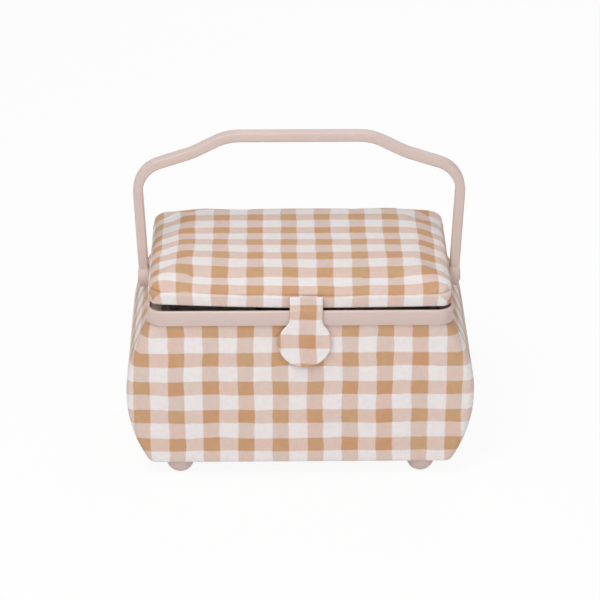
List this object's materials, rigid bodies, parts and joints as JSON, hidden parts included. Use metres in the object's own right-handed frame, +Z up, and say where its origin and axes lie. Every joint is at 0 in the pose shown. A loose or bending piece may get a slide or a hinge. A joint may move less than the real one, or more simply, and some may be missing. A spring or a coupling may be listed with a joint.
{
  "type": "sewing box",
  "caption": "Fabric-covered sewing box with bowed ends, padded hinged lid with a magnetic tab, moulded rim, folding carrying handle, lift-out tray and domed feet.",
  "frame": {"origin": "on the floor under the middle of the case, where the feet stand", "axes": "+X to the right along the box, +Y to the back where the hinges are, +Z up"},
  "size_m": [0.302, 0.185, 0.2903],
  "materials": {
    "gingham_cotton": "printed woven cotton, matte",
    "lining_cotton": "plain woven cotton, matte",
    "greyboard": "raw board",
    "moulded_plastic": "satin moulded",
    "tray_plastic": "satin moulded",
    "pad_foam": "open foam",
    "steel": "plated"
  },
  "bodies": {
    "case": {"base_cover": "gingham_cotton", "base_board": "greyboard", "front_cover": "gingham_cotton", "back_cover": "gingham_cotton", "right_end_cover": "gingham_cotton", "left_end_cover": "gingham_cotton", "front_board": "greyboard", "back_board": "greyboard", "right_end_board": "greyboard", "left_end_board": "greyboard", "case_lining": "lining_cotton", "rim_frame": "moulded_plastic", "feet": "moulded_plastic", "foot_screws": "steel", "catch_plate": "steel", "right_case_leaf": "steel", "left_case_leaf": "steel", "hinge_pins": "steel", "case_hinge_screws": "steel"},
    "pivots": {"pivot_pins": "steel", "pivot_washers": "steel", "pivot_retainers": "steel"},
    "handle": {"handle": "moulded_plastic"},
    "lid": {"lid_frame": "greyboard", "lid_foam": "pad_foam", "lid_cover": "gingham_cotton", "lid_lining": "lining_cotton", "pincushion": "lining_cotton", "right_lid_leaf": "steel", "left_lid_leaf": "steel", "lid_hinge_screws": "steel", "tab_anchor": "gingham_cotton"},
    "tab": {"tab_face": "gingham_cotton", "tab_backing": "gingham_cotton", "tab_magnet": "steel"},
    "tray": {"tray": "tray_plastic", "tray_divider": "tray_plastic"}
  },
  "joints": [
    {"name": "lid_hinge", "type": "hinge", "parent": "case", "child": "lid", "pos_m": [0, 0.0824, 0.1626], "axis": [-1, 0, 0], "range_deg": [0, 94]},
    {"name": "pivot_turn", "type": "hinge", "parent": "case", "child": "pivots", "pos_m": [0, 0, 0.15415], "axis": [-1, 0, 0], "range_deg": [0, 99]},
    {"name": "handle_swing", "type": "hinge", "parent": "pivots", "child": "handle", "pos_m": [0, 0, 0.15415], "axis": [1, 0, 0], "range_deg": [0, 98]},
    {"name": "tab_flap", "type": "hinge", "parent": "lid", "child": "tab", "pos_m": [0.005, -0.093, 0.1644], "axis": [-1, 0, 0], "range_deg": [0, 120]},
    {"name": "tray_lift", "type": "slide", "parent": "case", "child": "tray", "axis": [0, 0, 1], "range_m": [0, 0.008]}
  ],
  "couplings": [
    {"joint": "pivot_turn", "follows": "lid_hinge", "ratio": 1.05}
  ]
}
